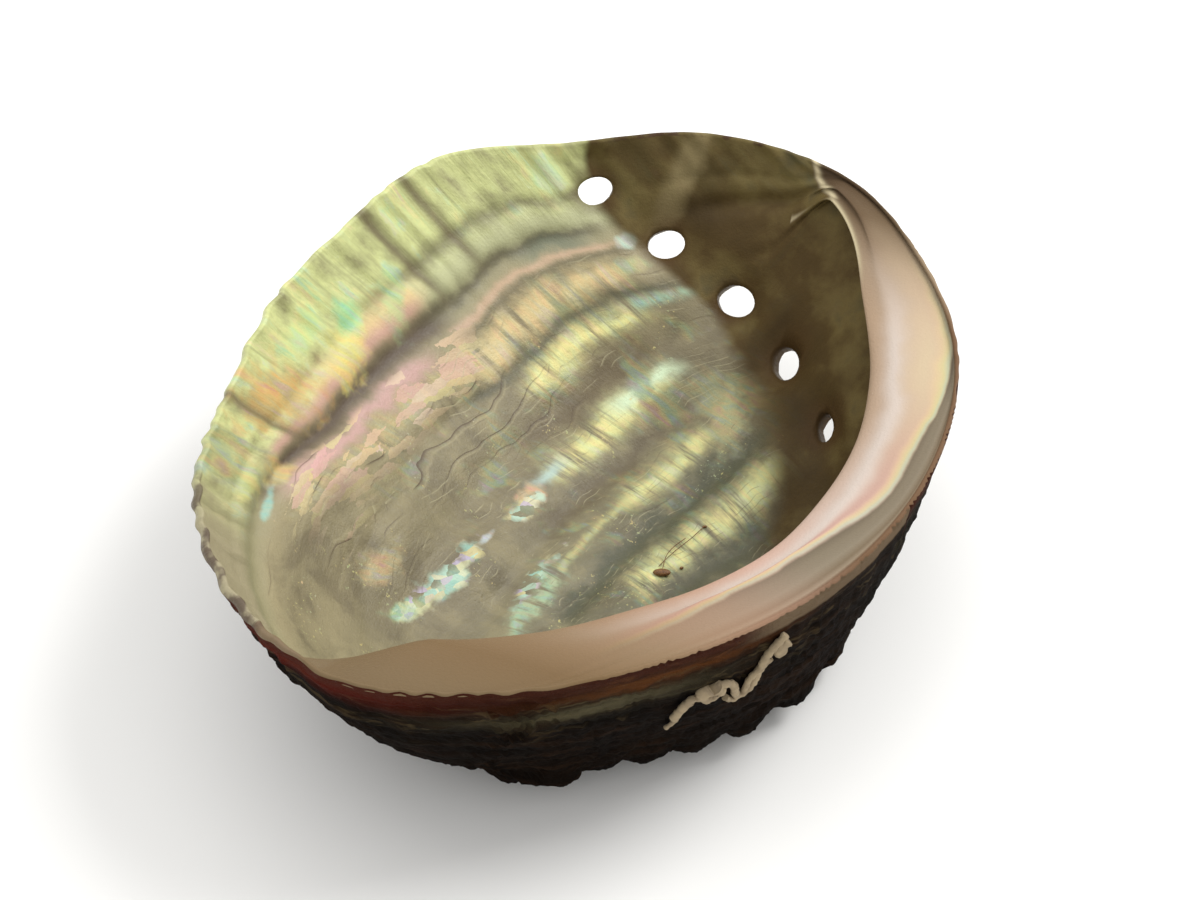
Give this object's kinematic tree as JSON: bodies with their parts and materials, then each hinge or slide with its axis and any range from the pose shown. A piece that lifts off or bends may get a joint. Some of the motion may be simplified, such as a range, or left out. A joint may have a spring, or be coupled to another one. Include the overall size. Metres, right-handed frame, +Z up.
{
  "type": "abalone shell",
  "caption": "Ear-shaped sea shell lying on its back: a deep pearly bowl with a broad inner ledge, a row of breathing holes and a rough dark back.",
  "frame": {"origin": "centre of the shell's footprint box, on the surface it rests on", "axes": "+Z up out of the bowl, +Y along the length towards the newest hole, +X towards the ledge side"},
  "size_m": [0.1004, 0.1274, 0.0388],
  "materials": {
    "shell": "glossy nacre inside, rough dark crust outside",
    "worm_tube": "matte chalk"
  },
  "bodies": {
    "root": {"abalone_shell": "shell", "worm_tube": "worm_tube"}
  },
  "joints": []
}
